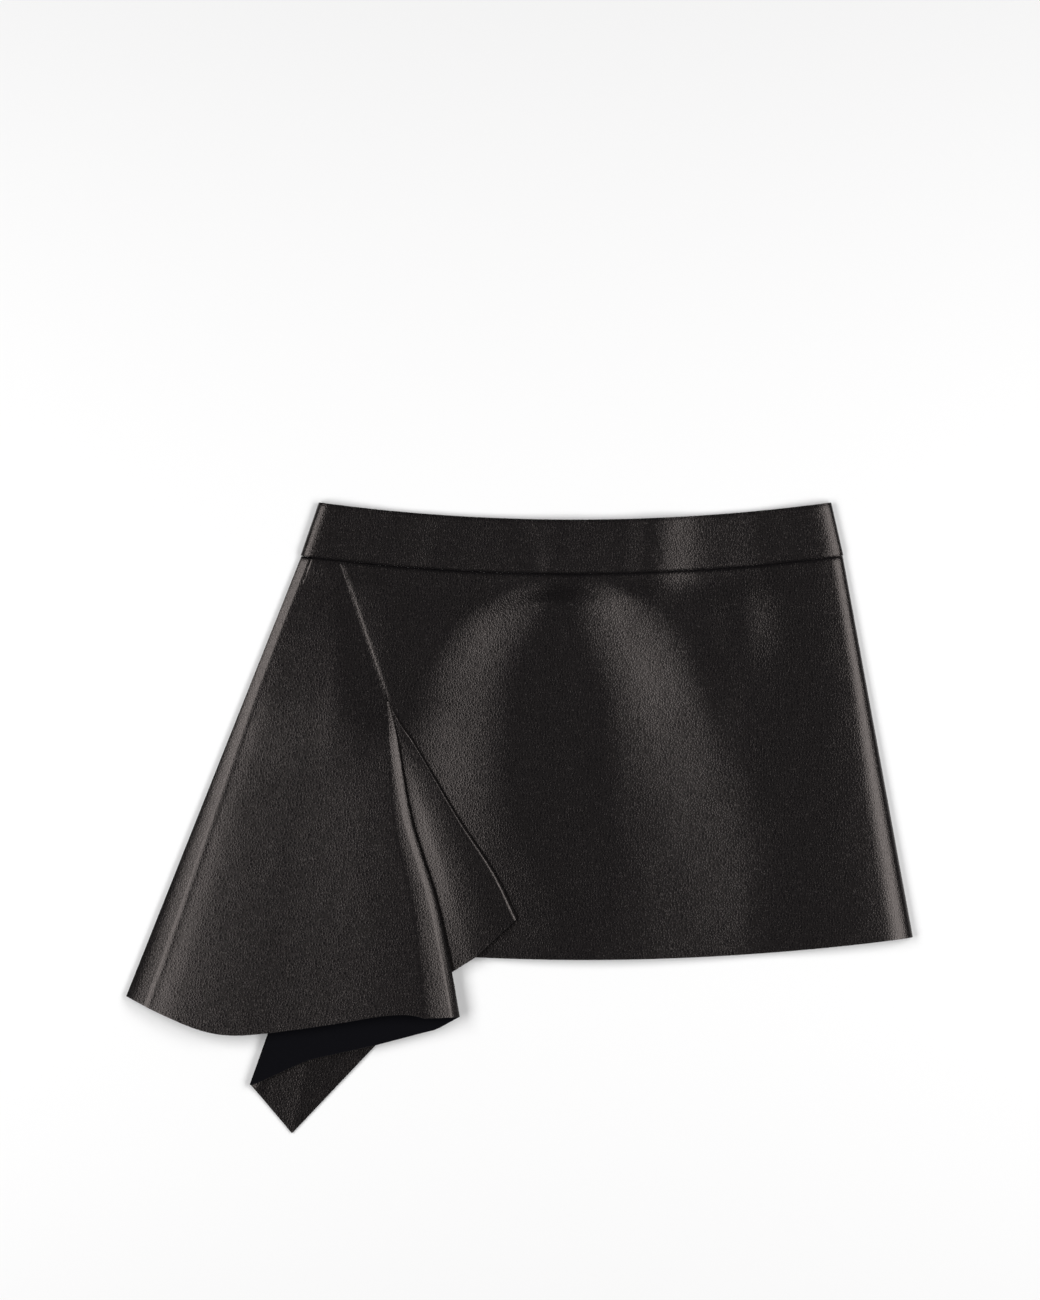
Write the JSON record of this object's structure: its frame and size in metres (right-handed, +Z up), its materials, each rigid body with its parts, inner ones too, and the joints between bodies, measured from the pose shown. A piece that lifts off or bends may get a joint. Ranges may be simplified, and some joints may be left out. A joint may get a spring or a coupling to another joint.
{
  "type": "leather mini skirt",
  "caption": "Black leather A-line mini skirt lying face up, with a curved waistband and an asymmetric side drape folded into a cascade with a pointed corner.",
  "frame": {"origin": "centre of the footprint, on the table the skirt lies on", "axes": "+X across the skirt towards its right as seen from above, +Y towards the waistband, +Z up from the table"},
  "size_m": [0.6014, 0.4823, 0.0221],
  "materials": {
    "band_leather": "satin",
    "leather": "satin",
    "zip_tape": "matte"
  },
  "bodies": {
    "root": {"waistband_front": "band_leather", "waistband_back_left": "band_leather", "waistband_back_right": "band_leather", "front_panel": "leather", "back_panel_left": "leather", "back_panel_right": "leather", "drape_panel": "leather", "zip": "zip_tape"}
  },
  "joints": []
}
